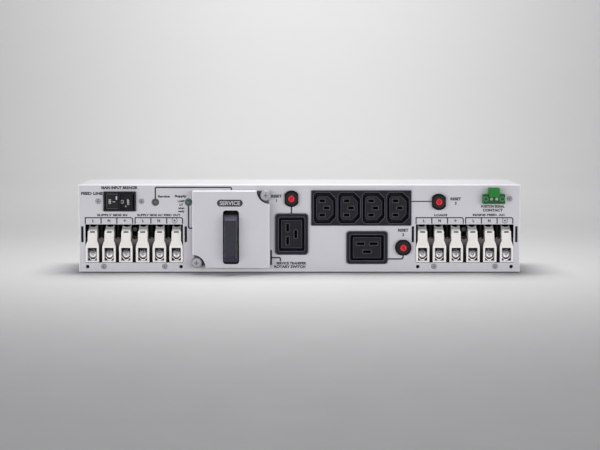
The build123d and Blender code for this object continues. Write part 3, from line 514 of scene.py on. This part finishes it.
def print_earth(name, x, z, size, ringed=False):
    """Earth symbol: a stem over three shortening bars, in a ring where it is the main earth."""
    print_line(name + "_stem", [(x, z + size * 0.5), (x, z)], 0.5)
    for number, span in enumerate((1.0, 0.64, 0.28)):
        level = z - number * size * 0.24
        print_line(f"{name}_bar_{number}", [(x - size * span / 2, level), (x + size * span / 2, level)], 0.5)
    if ringed:
        print_line(name + "_ring", ring_points(x, z, size * 0.95), 0.5, radius=0.1, closed=True)


def print_terminal_frames():
    """A three-cell frame over each half of a terminal block, with the cell's letter."""
    top, bottom, chamfer = 53.8, 47.8, 1.2
    for side, block in (("left", (-212.5, -116.0)), ("right", (115.8, 211.8))):
        start, end = block
        half = (end - start - 2.4) / 2
        for group, left in enumerate((start, end - half)):
            right = left + half
            outline = [(left, bottom), (left, top), (right - chamfer, top), (right, top - chamfer), (right, bottom)]
            name = f"terminal_frame_{side}_{group}"
            print_line(name, outline, FRAME_LINE, radius=0.1)
            cells = [left + half * share for share in (1 / 3, 2 / 3)]
            for number, x in enumerate(cells):
                print_line(f"{name}_divider_{number}", [(x, bottom), (x, top)], FRAME_LINE)
            middles = [left + half * share for share in (1 / 6, 1 / 2, 5 / 6)]
            level = (top + bottom) / 2
            print_words(name + "_line", "L", middles[0], level, 2.6)
            print_words(name + "_neutral", "N", middles[1], level, 2.6)
            print_earth(name + "_earth", middles[2], level + 0.3, 2.8, ringed=(group == 1))


def print_panel_words():
    """Plain functional wording in place of the maker's own."""
    print_words("words_input", "MAIN INPUT BREAKER", -178.2, 83.6, 2.7, 36)
    print_words("words_input_rating", "FEED LINE", -205.6, 77.9, 2.7, 21.5)
    print_words("words_lamp_1", "Service", -134.4, 75.0, 2.2, 12)
    print_words("words_lamp_2", "Supply", -117.7, 75.0, 2.2, 12)
    for number, word in enumerate(("LAMP", "LIT", "when", "ready")):
        print_words(f"words_lamp_note_{number}", word, -117.2, 70.2 - number * 3.4, 2.0)
    print_words("words_terminal_left_1", "SUPPLY SIDE IN", -185.8, 56.4, 2.0, 30)
    print_words("words_terminal_left_2", "SUPPLY SIDE AC FEED OUT", -139.5, 56.4, 2.0, 43)
    print_words("words_terminal_right_1", "LOADS", 140.3, 56.4, 2.0, 13)
    print_words("words_terminal_right_2", "MAINS FEED, AC", 188.0, 56.4, 2.0, 32)
    for number, (x, z) in enumerate(((-22.7, 73.0), (103.0, 39.1), (155.0, 70.3))):
        print_words(f"words_reset_{number}", "RESET", x, z + 2.2, 2.7, 10.5)
        print_words(f"words_reset_{number}_place", str(number + 1), x, z - 2.2, 2.7)
    print_words("words_signal_1", "POSITION SIGNAL", 191.8, 65.0, 2.5, 23.5)
    print_words("words_signal_2", "CONTACT", 191.8, 61.3, 2.6, 20)
    print_words("words_switch_1", "SERVICE TRANSFER", -8.0, 8.4, 2.5, 30)
    print_words("words_switch_2", "ROTARY SWITCH", -9.5, 5.0, 2.5, 31)


def print_cover_plate():
    """Black oblong nameplate with light lettering above the cover's slot."""
    face = front_of("bypass_cover")
    x, z, width, height = middle("bypass_handle")[0] - 1.0, 69.2, 25.4, 6.9
    half = (width - height) / 2
    outline = ring_points(x + half, z, height / 2, 14, -90, 180) + ring_points(x - half, z, height / 2, 14, 90, 180)
    print_shape("cover_plate", outline, PANEL.raised(face), "bypass_cover", thickness=0.25)
    print_words("cover_plate_words", "SERVICE", x, z, 3.9, 20, PANEL.raised(face + 0.25), "bypass_cover", light_ink,
                weight=0.03)


def print_rocker_marks():
    """Dash for on and ring for off, with a small word beyond each."""
    x, z = middle("input_breaker_bezel")
    level, rise, half = 0.6, 5.0, 13.2        # the rocker's flat half, and how far the other climbs
    flat = Surface((x, face_y / MM - level, z), (1, 0, 0), (0, 0, 1))
    slope = Surface((x, face_y / MM - level, z), (half, -rise, 0), (0, 0, 1))
    light = {"body": "input_rocker", "material": light_ink}
    print_words("rocker_on", "ON", -9.8, -0.4, 2.3, 4.6, flat, turn=90, **light)
    print_line("rocker_dash", [(-7.2, -0.4), (-4.4, -0.4)], 0.6, flat, **light)
    for number, level in enumerate((2.4, 4.2)):
        print_shape(f"rocker_dot_{number}", ring_points(-3.2, level, 0.9, 16), flat, **light)
    print_line("rocker_ring", ring_points(2.7, -0.4, 1.5), 0.6, slope, radius=0.1, closed=True, **light)
    print_words("rocker_off", "OFF", 9.4, -0.6, 2.1, 5.6, slope, turn=90, **light)
    print_shape("rocker_pointer", [(5.9, -5.4), (7.5, -5.4), (6.9, -3.9), (6.5, -3.9)], slope, **light)
    rim = {"body": "input_rocker", "material": faint_ink}
    print_line("rocker_outline", [(-13.2, -7.2), (-13.2, 7.2), (-0.3, 7.2), (-0.3, -7.2)], 0.35, flat,
               radius=0.1, closed=True, **rim)


print_guides()
print_terminal_frames()
print_panel_words()
print_cover_plate()
print_rocker_marks()


# ---------------------------------------------------------------- turned and moulded details
def arc_profile(radius, base, height, steps=8):
    """(radius, proud) points of a dome from its rim to its crown."""
    return [(radius * math.cos(math.pi / 2 * k / steps), base + height * math.sin(math.pi / 2 * k / steps))
            for k in range(steps)] + [(0, base + height)]


def make_reset_buttons():
    """Red push buttons with a rounded rim and a shallow dish, each with a darker red skirt painted as shade round it
    and a paler red ridge painted as a highlight.
    """
    for number in (1, 2, 3):
        node = f"reset_button_{number}"
        x, z = middle(node)
        low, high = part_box(node)
        radius, top = (high.x - low.x) / 2 / MM, front_of(node)
        bottom = top - (high.y - low.y) / MM
        rim = [(radius - 1.3 * (1 - math.sin(a)), top - 1.3 + 1.3 * math.cos(a))
               for a in [math.pi / 2 * (1 - k / 6) for k in range(7)]]
        dish = [(radius - 1.9, top - 0.12), (radius - 2.6, top - 0.35), (0.8, top - 0.45), (0, top - 0.45)]
        button = lathe(node + "_cap", [(0, bottom), (radius, bottom)] + rim + dish, x, z, red, node)
        # the skirt is painted darker red as shade round the button
        skirt = [(radius - 0.75, top - 0.5), (radius - 0.05, top - 1.4), (radius + 0.04, top - 1.4),
                 (radius + 0.04, top - 1.0), (radius - 0.3, top - 0.25), (radius - 0.75, top - 0.05)]
        lathe(node + "_skirt", skirt + skirt[:1], x, z, red_painted_shade, node)
        # the ridge is painted paler red as a highlight
        ridge = [(2.95, top - 0.1), (2.2, top - 0.1), (2.3, top + 0.02), (2.8, top + 0.02)]
        lathe(node + "_ridge", ridge + ridge[:1], x, z, red_painted_highlight, node)
        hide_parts(node)


def make_lenses():
    """Indicator lenses: a low dome with a ring step round a brighter middle, and a grey ring painted as shade round
    each.
    """
    for node, glass in (("bypass_lamp_lens", smoke), ("normal_lamp_lens", green_lens)):
        x, z = middle(node)
        low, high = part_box(node)
        radius = (high.x - low.x) / 2 / MM
        bottom = -(high.y - face_y) / MM
        profile = [(0, bottom), (radius - 0.6, bottom), (radius - 0.6, 0), (radius, 0), (radius, 0.7),
                   (radius - 0.25, 1.0), (radius - 0.9, 1.15), (radius - 1.1, 0.95)]
        profile += arc_profile(radius - 1.2, 0.95, 1.2)
        # a grey ring painted as shade round the lens
        print_line(node + "_rim", ring_points(x, z, radius + 0.15), 0.4, radius=0.1, closed=True, material=ink_for_painted_shade)
        lens = lathe(node + "_glass", profile, x, z, glass, "chassis")
        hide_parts(node)


def cut_cross(piece, x, z, top, span, width, depth):
    """Cuts a tapering cross recess into a turned head and paints its walls dark as painted shade."""
    form = bmesh.new()
    a, b = span / 2, width / 2
    outline = [(a, b), (b, b), (b, a), (-b, a), (-b, b), (-a, b),
               (-a, -b), (-b, -b), (-b, -a), (b, -a), (b, -b), (a, -b)]
    rims = [[form.verts.new(at(x + u * share, z + v * share, proud)) for u, v in outline]
            for share, proud in ((1.0, top + 1), (1.0, top - 0.3), (0.7, top - depth))]
    form.faces.new(rims[0])
    form.faces.new(rims[-1][::-1])
    for low, high in zip(rims, rims[1:]):
        for k in range(12):
            form.faces.new((low[k], low[(k + 1) % 12], high[(k + 1) % 12], high[k]))
    bmesh.ops.recalc_face_normals(form, faces=form.faces)
    data = bpy.data.meshes.new("cross")
    form.to_mesh(data)
    form.free()
    cutter = bpy.data.objects.new("cross", data)
    bpy.context.scene.collection.objects.link(cutter)
    tool = piece.modifiers.new("cut", "BOOLEAN")
    tool.operation, tool.solver, tool.object = "DIFFERENCE", "EXACT", cutter
    bpy.context.view_layer.update()
    cut = bpy.data.meshes.new_from_object(piece.evaluated_get(bpy.context.evaluated_depsgraph_get()))
    piece.modifiers.clear()
    piece.data = cut
    bpy.data.objects.remove(cutter)
    cut.materials.append(painted_shade_in_recesses)
    # faces inside the cross and below the top get the dark painted shade
    for polygon in cut.polygons:
        u, v = abs(polygon.center.x / MM - x), abs(polygon.center.z / MM - z)
        inside = (u < b + 0.01 and v < a + 0.01) or (u < a + 0.01 and v < b + 0.01)
        if inside and (face_y - polygon.center.y) / MM < top - 0.08:
            polygon.material_index = 1
            polygon.use_smooth = False


def make_captive_screws():
    """Tall captive screws: a knurled side, a stepped rim and a cross recess."""
    low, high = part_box("bypass_cover_screws")
    head_radius, steps = 5.25, 64
    top = front_of("bypass_cover_screws")
    shank_end = -(high.y - face_y) / MM
    spots = [(high.x / MM - head_radius, high.z / MM - head_radius),
             (low.x / MM + head_radius, low.z / MM + head_radius)]
    for number, (x, z) in enumerate(spots, start=1):
        profile = [(0, shank_end), (2.0, shank_end), (2.0, 1.5), (4.9, 1.5), (head_radius, 1.9),
                   (head_radius, top - 1.3), (head_radius - 0.3, top - 0.8), (4.5, top - 0.7), (4.4, top - 0.2),
                   (4.1, top), (1.5, top), (0, top)]
        screw = lathe(f"captive_screw_{number}", profile, x, z, screw_paint, "bypass_cover", steps)
        for vertex in screw.data.vertices:
            offset = Vector((vertex.co.x - x * MM, vertex.co.z - z * MM))
            on_side = 1.8 < (face_y - vertex.co.y) / MM < top - 1.2
            if on_side and abs(offset.length - head_radius * MM) < 0.05 * MM:
                index = round(math.atan2(offset.y, offset.x) / (2 * math.pi / steps))
                shrink = 0.955 if index % 2 else 1.0
                vertex.co.x, vertex.co.z = x * MM + offset.x * shrink, z * MM + offset.y * shrink
        cut_cross(screw, x, z, top, 4.2, 1.0, 0.9)
    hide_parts("bypass_cover_screws")


def make_panel_screws():
    """Small pan-head screws with a cross recess and a grey ring painted as shade round each, and the two dark ones
    deep between the terminals, painted dark as shade.
    """
    left, right, low_z, top_z = edges("terminal_base_screws")
    breaker_left, breaker_right = edges("input_breaker_screws")[:2]
    breaker_z = middle("input_breaker_screws")[1]
    head, reach = 2.5, 30.35
    blocks = [middle(f"terminal_base_{side}")[0] for side in ("left", "right")]
    spots = {
        "terminal_base_screws": [(x + side * reach, low_z + head) for x in blocks for side in (-1, 1)],
        "input_breaker_screws": [(breaker_left + 2.3, breaker_z), (breaker_right - 2.3, breaker_z)],
        "detection_board_screw": [(middle("detection_board_screw")[0], middle("detection_board_screw")[1])],
    }
    for node, places in spots.items():
        for number, (x, z) in enumerate(places):
            profile = [(0, -6), (1.4, -6), (1.4, 0), (head, 0), (head, 0.45), (head - 0.25, 0.8),
                       (head - 0.8, 1.15), (head - 1.5, 1.35), (0, 1.4)]
            screw = lathe(f"{node}_{number}", profile, x, z, screw_paint, "chassis", 32)
            cut_cross(screw, x, z, 1.4, 3.0, 0.75, 0.9)
            # a grey ring painted as shade round the head
            print_line(f"{node}_{number}_edge", ring_points(x, z, head + 0.12), 0.35, radius=0.1, closed=True,
                       material=ink_for_painted_shade)
        if node == "terminal_base_screws":
            for x in blocks:
                # the deep screws are painted dark grey as shade between the terminals
                deep = [(0, -20), (1.1, -20), (1.1, -12), (2.1, -12), (2.1, -11.2), (1.7, -10.8), (1.1, -10.8),
                        (0.9, -11.4), (0, -11.4)]
                lathe(f"deep_screw_{round(x)}", deep, x, top_z - 2.1, painted_shade_dark_grey, "chassis", 24)
        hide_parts(node)


def paint_notch_shade():
    """Dark curved walls and grey floors in the two notched corners of the cover behind its screws, painted as the
    shade inside the notches.
    """
    left, right, bottom, top = edges("bypass_cover")
    inner, outer, floor, ceiling = 12.75, 13.3, 1.55, front_of("bypass_cover") - 1.25
    for name, x, z, start in (("low", left, bottom, 0), ("high", right, top, 180)):
        form = bmesh.new()
        arc = [math.radians(start + 4 + 82 * k / 16) for k in range(17)]
        columns = [[form.verts.new(at(x + r * math.cos(a), z + r * math.sin(a), proud))
                    for r, proud in ((inner, ceiling), (inner, floor), (outer, floor), (outer, ceiling))]
                   for a in arc]
        for a, b in zip(columns, columns[1:]):
            for k in range(4):
                form.faces.new((a[k], a[(k + 1) % 4], b[(k + 1) % 4], b[k]))
        form.faces.new(columns[0])
        form.faces.new(columns[-1][::-1])
        # the dark grey wall painted as shade inside the notch
        add_mesh(f"notch_shade_wall_{name}", form, painted_shade_dark_grey, "bypass_cover")
        inset = 0.9
        corner = (x + (inset if start == 0 else -inset), z + (inset if start == 0 else -inset))
        rim = [(x + inner * math.cos(a), z + inner * math.sin(a)) for a in arc]
        # the grey floor painted as shade inside the notch
        print_shape(f"notch_floor_{name}", [corner] + rim, PANEL.raised(1.5), "bypass_cover", notch_floor_painted_shade, 0.1)


def make_terminal_details():
    """What shows inside each terminal: the pad's shallow dome with a dark arc painted as shade, black backs painted
    as shade in the pocket and test slot, and a black patch painted as shade over the mouth of the screw bore.
    """
    pocket, pad, pad_z = (9.2, 12.8, 17.45), (4.25, -4.5), 17.2
    for side in ("left", "right"):
        for number in range(1, 7):
            x = middle(f"terminal_{side}_{number}")[0]
            tag = f"{side}_{number}"
            radius, base = pad
            profile = [(0, base - 0.5), (radius, base - 0.5), (radius, base), (radius - 0.2, base + 0.15),
                       (3.2, base + 0.4), (1.9, base + 0.55), (1.7, base + 0.35), (1.2, base + 0.35),
                       (1.0, base + 0.6), (0, base + 0.65)]
            lathe(f"clamp_dome_{tag}", profile, x, pad_z, pad_metal_painted_shade, "chassis", 40)
            # a dark arc painted as shade along the pad's lower rim
            print_line(f"clamp_painted_shade_arc_{tag}", ring_points(x, pad_z, radius - 0.1, 24, 195, 150), 0.45,
                       PANEL.raised(base + 0.25), material=black_and_painted_shade, radius=0.1)
            width, height, z = pocket
            # a black sheet painted as shade at the back of the pocket
            add_box(f"pocket_painted_shade_{tag}", (x - width / 2, z - height / 2, base - 0.8),
                    (x + width / 2, z + height / 2, base - 0.3), black_and_painted_shade)
            # a black block painted as shade at the back of the test slot
            add_box(f"test_slot_{tag}", (x - 2.5, 38.65, -8.95), (x + 2.5, 39.95, -7.0), black_and_painted_shade)
            # a black patch painted as shade over the mouth of the screw bore
            form = bmesh.new()
            spots = [(x + u, v) for u, v in ring_points(0, -15, 3.8, 28)]
            # the mouth lies on the cap's slope, which rises towards the back
            heights = [min(42.3 + (-9 - v) * 0.627, 47.0) for u, v in spots]
            for lift in (-0.6, 0.08):
                form.faces.new([form.verts.new(at(u, z + lift, v)) for (u, v), z in zip(spots, heights)])
            form.verts.ensure_lookup_table()
            low, high = form.verts[:len(spots)], form.verts[len(spots):]
            for k in range(len(spots)):
                j = (k + 1) % len(spots)
                form.faces.new((low[k], low[j], high[j], high[k]))
            add_mesh(f"clamp_bore_mouth_{tag}", form, black_and_painted_shade, "chassis")


def make_slot_rims():
    """Dark lead-ins painted as shade and thin lighter rims painted as highlights round the contact slots of the
    outlets.
    """
    centre_x, centre_z = middle("c13_block")
    for k in range(4):
        x = centre_x + 24.2 * (k - 1.5)
        for number, (u, v) in enumerate(((-2.4, -7.05), (-2.4, 7.05), (1.9, 0))):
            rim_slot(f"c13_slot_{k}_{number}", x + u, centre_z + v, 4.8, 2.2, 1.2)
    for node, spots, width, height in (
            ("c19_upright", ((-3.9, 6.5), (-3.9, -6.5), (4.1, 0)), 2.0, 7.2),
            ("c19_lying", ((-6.5, 3.9), (6.5, 3.9), (0, -4.1)), 7.2, 2.0)):
        x, z = middle(node)
        for number, (u, v) in enumerate(spots):
            rim_slot(f"{node}_slot_{number}", x + u, z + v, width, height, 2.0)


def rim_slot(name, x, z, width, height, proud):
    # the lead-in is black painted as shade, the rim lighter grey painted as a highlight
    for part, growth, line, material in (("lead_in", 0.5, 0.5, black_and_painted_shade), ("rim", 1.5, 0.45, rim_painted_highlight)):
        half_width, half_height = (width + growth) / 2, (height + growth) / 2
        corners = [(x + u * half_width, z + v * half_height) for u, v in ((-1, -1), (1, -1), (1, 1), (-1, 1))]
        print_line(f"{name}_{part}", corners, line, PANEL.raised(proud), material=material, radius=0.2, closed=True)


def make_switch_sheet():
    """Black sheets on the panel above and below the switch plate, painted as the shade seen through the cover's slot.
    """
    left, right, bottom, top = edges("bypass_switch_plate")
    add_box("switch_sheet", (left + 14, top, 0.02), (right - 14, top + 9, 0.4), black_and_painted_shade)
    add_box("switch_sheet_low", (left + 14, bottom - 4, 0.02), (right - 14, bottom, 0.4), black_and_painted_shade)


def add_box(name, low, high, material, body="chassis"):
    """A plain block between two corners given as (x, z, proud) in millimetres."""
    form = bmesh.new()
    a, b = at(*low), at(*high)
    centre, size = (a + b) / 2, [abs(b[i] - a[i]) for i in range(3)]
    bmesh.ops.create_cube(form, size=1.0, matrix=Matrix.Translation(centre) @ Matrix.Diagonal((*size, 1)))
    return add_mesh(name, form, material, body)


def make_panel_holes():
    """Black blocks painted as shade in the tall cover slots, black rims painted as shade round them, and dark rims
    painted as shade round the tapped holes below the terminals.
    """
    for side, x in (("left", middle("terminal_base_left")[0]), ("right", middle("terminal_base_right")[0])):
        for number, reach in enumerate((-51.4, 51.3)):
            # a black block painted as shade behind the slot
            add_box(f"slot_backing_{side}_{number}", (x + reach - 1.3, 29.0, -2.0), (x + reach + 1.3, 45.6, -1.25),
                    black_and_painted_shade)
            slot = [(x + reach + u * 0.95, 37.3 + v * 7.7) for u, v in ((-1, -1), (1, -1), (1, 1), (-1, 1))]
            # a black rim painted as shade round the slot
            print_line(f"slot_lip_{side}_{number}", slot, 0.5, material=black_and_painted_shade, radius=0.3, closed=True)
            # a dark ink ring painted as shade round the tapped hole
            print_line(f"hole_rim_{side}_{number}", ring_points(x + (-46.45, 46.45)[number], 5.0, 1.62), 0.35,
                       radius=0.1, closed=True)


def make_plug_details():
    """A darker green patch painted as shade on the plug's face, paler green rings painted as highlights round its
    flange screws and dark green squares painted as shade round its contact screws.
    """
    x, z = middle("detection_header")
    print_shape("plug_painted_shade_patch", [(x + u * 10.5, z + v * 4.5) for u, v in ((-1, -1), (1, -1), (1, 1), (-1, 1))],
                PANEL.raised(8.5), "detection_plug", green_face_painted_shade)
    for number, side in enumerate((-1, 1)):
        print_line(f"plug_highlight_ring_{number}", ring_points(x + side * 8.1, z, 2.2), 0.5, PANEL.raised(8.56),
                   "detection_plug", green_ring_painted_highlight, radius=0.1, closed=True)
        print_line(f"plug_shade_well_{number}", [(x + side * 2.54 - 1.9, z - 1.9), (x + side * 2.54 + 1.9, z - 1.9),
                                           (x + side * 2.54 + 1.9, z + 1.9), (x + side * 2.54 - 1.9, z + 1.9)],
                   0.7, PANEL.raised(8.56), "detection_plug", green_well_painted_shade, radius=0.1, closed=True)


make_reset_buttons()
make_lenses()
make_panel_holes()
make_plug_details()
make_captive_screws()
make_panel_screws()
paint_notch_shade()
make_terminal_details()
make_slot_rims()
make_switch_sheet()


# ---------------------------------------------------------------- stage, light and camera
def make_stage():
    """A plain pale floor that sweeps up into a backdrop."""
    sweep = bpy.data.meshes.new("floor")
    form = bmesh.new()
    reach, turn, wall = 6.0, 1.5, 3.0
    level = -1.2 * MM
    rows = [(-4.0, level), (turn, level)]
    rows += [(turn + math.sin(a) * 0.8, level + 0.8 - math.cos(a) * 0.8)
             for a in [math.radians(10 * step) for step in range(1, 10)]]
    rows.append((turn + 0.8, wall))
    lines = [[form.verts.new((x, y, z)) for x in (-reach, reach)] for y, z in rows]
    for a, b in zip(lines, lines[1:]):
        form.faces.new((a[0], a[1], b[1], b[0])).smooth = True
    form.to_mesh(sweep)
    form.free()
    floor = bpy.data.objects.new("floor", sweep)
    bpy.context.scene.collection.objects.link(floor)
    pale = Shader("pale_floor", (0.55, 0.55, 0.55), 0.7)
    sweep.materials.append(pale.vary_roughness(40, 0.05).material)


def soft_light(name, place, aim, width, height, power, spread=180):
    lamp = bpy.data.lights.new(name, "AREA")
    lamp.shape = "RECTANGLE"
    lamp.size, lamp.size_y = width, height
    lamp.spread = math.radians(spread)
    lamp.energy = power
    holder = bpy.data.objects.new(name, lamp)
    holder.location = place
    holder.rotation_euler = (Vector(aim) - Vector(place)).to_track_quat("-Z", "Y").to_euler()
    bpy.context.scene.collection.objects.link(holder)


def make_camera():
    """Long lens from above the panel's level, as far away as the sliver of top calls for."""
    distance, height = 1.740, 0.183
    raised, turned = 0.10753, -0.01955        # degrees off the panel's middle, for its place in the picture
    camera = bpy.data.cameras.new("camera")
    camera.sensor_width = 36.0
    camera.lens = 105.504
    camera.clip_end = 50
    holder = bpy.data.objects.new("camera", camera)
    holder.location = (0.0, face_y - distance, height)
    drop = math.atan2(height - panel_height / 2, distance)
    holder.rotation_euler = (math.pi / 2 - drop + math.radians(raised), 0, math.radians(turned))
    bpy.context.scene.collection.objects.link(holder)
    bpy.context.scene.camera = holder


make_stage()
make_camera()
soft_light("front_left", (-1.1, -2.3, 0.34), (0, 0, 0.05), 2.0, 0.6, 25)
soft_light("front_right", (1.1, -2.3, 0.34), (0, 0, 0.05), 2.0, 0.6, 25)
soft_light("top", (0, 0.08, 0.75), (0, -0.08, 0), 0.4, 0.3, 2.0, 105)
soft_light("rear", (0, 0.68, 1.1), (0, 0.65, 0), 0.9, 0.4, 4.3, 115)
soft_light("backdrop", (0, 1.35, 1.05), (0, 2.3, 0.2), 0.6, 0.3, 12)
world = bpy.data.worlds.new("studio")
world.use_nodes = True
world.node_tree.nodes["Background"].inputs["Color"].default_value = (0.93, 0.94, 1.0, 1)
world.node_tree.nodes["Background"].inputs["Strength"].default_value = 0.2
bpy.context.scene.world = world
bpy.context.scene.view_settings.view_transform = "Standard"
